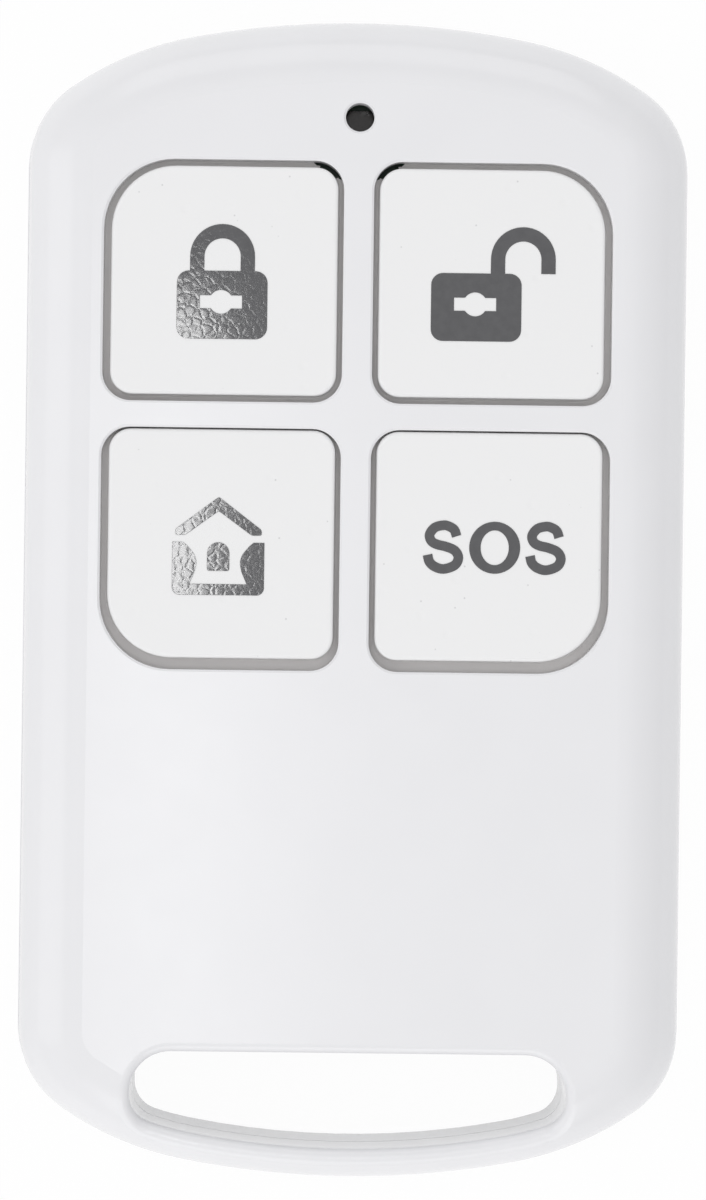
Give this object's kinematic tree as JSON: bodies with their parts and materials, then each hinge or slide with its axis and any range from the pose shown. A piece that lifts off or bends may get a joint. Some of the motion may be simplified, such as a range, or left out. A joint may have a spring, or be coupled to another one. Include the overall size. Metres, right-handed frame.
{
  "type": "alarm key fob",
  "caption": "Flat pocket remote for an alarm: rounded white two-part housing, square silicone keys in windows, a lamp hole and a lanyard slot through one end.",
  "frame": {"origin": "middle of the flat back face, on the surface that the fob lies on", "axes": "+X across the fob to the right as its keys are read, +Y along it from the lanyard slot to the lamp, +Z out of the front face with the keys"},
  "size_m": [0.036, 0.0628, 0.009],
  "materials": {
    "housing_plastic": "fine spark-eroded grain, satin",
    "key_silicone": "milky silicone, smooth and matt",
    "legend_ink": "thick dark ink, slightly wrinkled and glossy",
    "screw_steel": "zinc plated",
    "board_laminate": "green solder resist",
    "printed_copper": "flat copper under resist",
    "lamp_plastic": "white moulding",
    "lamp_lens": "clear epoxy",
    "tinned_metal": "tin plated",
    "chip_epoxy": "moulded epoxy",
    "resonator_metal": "drawn nickel plated",
    "resistor_black": "glazed",
    "capacitor_tan": "fired ceramic",
    "inductor_grey": "ferrite",
    "cell_steel": "brushed nickel plated",
    "seal_plastic": "moulded nylon",
    "spring_steel": "bright strip",
    "switch_plastic": "moulded",
    "plunger_plastic": "moulded",
    "switch_steel": "pressed sheet"
  },
  "bodies": {
    "housing": {"front_cover": "housing_plastic", "back_cover": "housing_plastic", "cover_screws": "screw_steel", "keypad_web": "key_silicone", "circuit_board": "board_laminate", "loop_antenna": "printed_copper", "lamp_base": "lamp_plastic", "lamp_lens": "lamp_lens", "switch_terminals": "tinned_metal", "encoder_chip": "chip_epoxy", "encoder_leads": "tinned_metal", "transistor": "chip_epoxy", "transistor_leads": "tinned_metal", "resonator_can": "resonator_metal", "resonator_base": "resonator_metal", "resonator_pins": "tinned_metal", "chip_resistors": "resistor_black", "chip_capacitors": "capacitor_tan", "tuning_inductor": "inductor_grey", "cell_can": "cell_steel", "cell_seal": "seal_plastic", "cell_cap": "cell_steel", "cell_clip": "spring_steel", "cell_contact": "spring_steel", "switch_base_arm": "switch_plastic", "switch_dome_arm": "spring_steel", "switch_frame_arm": "switch_steel", "switch_base_disarm": "switch_plastic", "switch_dome_disarm": "spring_steel", "switch_frame_disarm": "switch_steel", "switch_base_home": "switch_plastic", "switch_dome_home": "spring_steel", "switch_frame_home": "switch_steel", "switch_base_sos": "switch_plastic", "switch_dome_sos": "spring_steel", "switch_frame_sos": "switch_steel"},
    "key_arm": {"key_arm": "key_silicone"},
    "plunger_arm": {"switch_plunger_arm": "plunger_plastic"},
    "key_disarm": {"key_disarm": "key_silicone"},
    "plunger_disarm": {"switch_plunger_disarm": "plunger_plastic"},
    "key_home": {"key_home": "key_silicone"},
    "plunger_home": {"switch_plunger_home": "plunger_plastic"},
    "key_sos": {"key_sos": "key_silicone"},
    "plunger_sos": {"switch_plunger_sos": "plunger_plastic"}
  },
  "joints": [
    {"name": "key_arm_press", "type": "slide", "parent": "housing", "child": "key_arm", "axis": [0, 0, -1], "range_m": [0, 0.00025], "stiffness_N_per_m": 3000, "springref_m": -0.0004},
    {"name": "plunger_arm_press", "type": "slide", "parent": "housing", "child": "plunger_arm", "axis": [0, 0, -1], "range_m": [0, 0.00025], "deforming": ["switch_dome_arm"]},
    {"name": "key_disarm_press", "type": "slide", "parent": "housing", "child": "key_disarm", "axis": [0, 0, -1], "range_m": [0, 0.00025], "stiffness_N_per_m": 3000, "springref_m": -0.0004},
    {"name": "plunger_disarm_press", "type": "slide", "parent": "housing", "child": "plunger_disarm", "axis": [0, 0, -1], "range_m": [0, 0.00025], "deforming": ["switch_dome_disarm"]},
    {"name": "key_home_press", "type": "slide", "parent": "housing", "child": "key_home", "axis": [0, 0, -1], "range_m": [0, 0.00025], "stiffness_N_per_m": 3000, "springref_m": -0.0004},
    {"name": "plunger_home_press", "type": "slide", "parent": "housing", "child": "plunger_home", "axis": [0, 0, -1], "range_m": [0, 0.00025], "deforming": ["switch_dome_home"]},
    {"name": "key_sos_press", "type": "slide", "parent": "housing", "child": "key_sos", "axis": [0, 0, -1], "range_m": [0, 0.00025], "stiffness_N_per_m": 3000, "springref_m": -0.0004},
    {"name": "plunger_sos_press", "type": "slide", "parent": "housing", "child": "plunger_sos", "axis": [0, 0, -1], "range_m": [0, 0.00025], "deforming": ["switch_dome_sos"]}
  ],
  "couplings": [
    {"joint": "plunger_arm_press", "follows": "key_arm_press", "ratio": 1},
    {"joint": "plunger_disarm_press", "follows": "key_disarm_press", "ratio": 1},
    {"joint": "plunger_home_press", "follows": "key_home_press", "ratio": 1},
    {"joint": "plunger_sos_press", "follows": "key_sos_press", "ratio": 1}
  ]
}
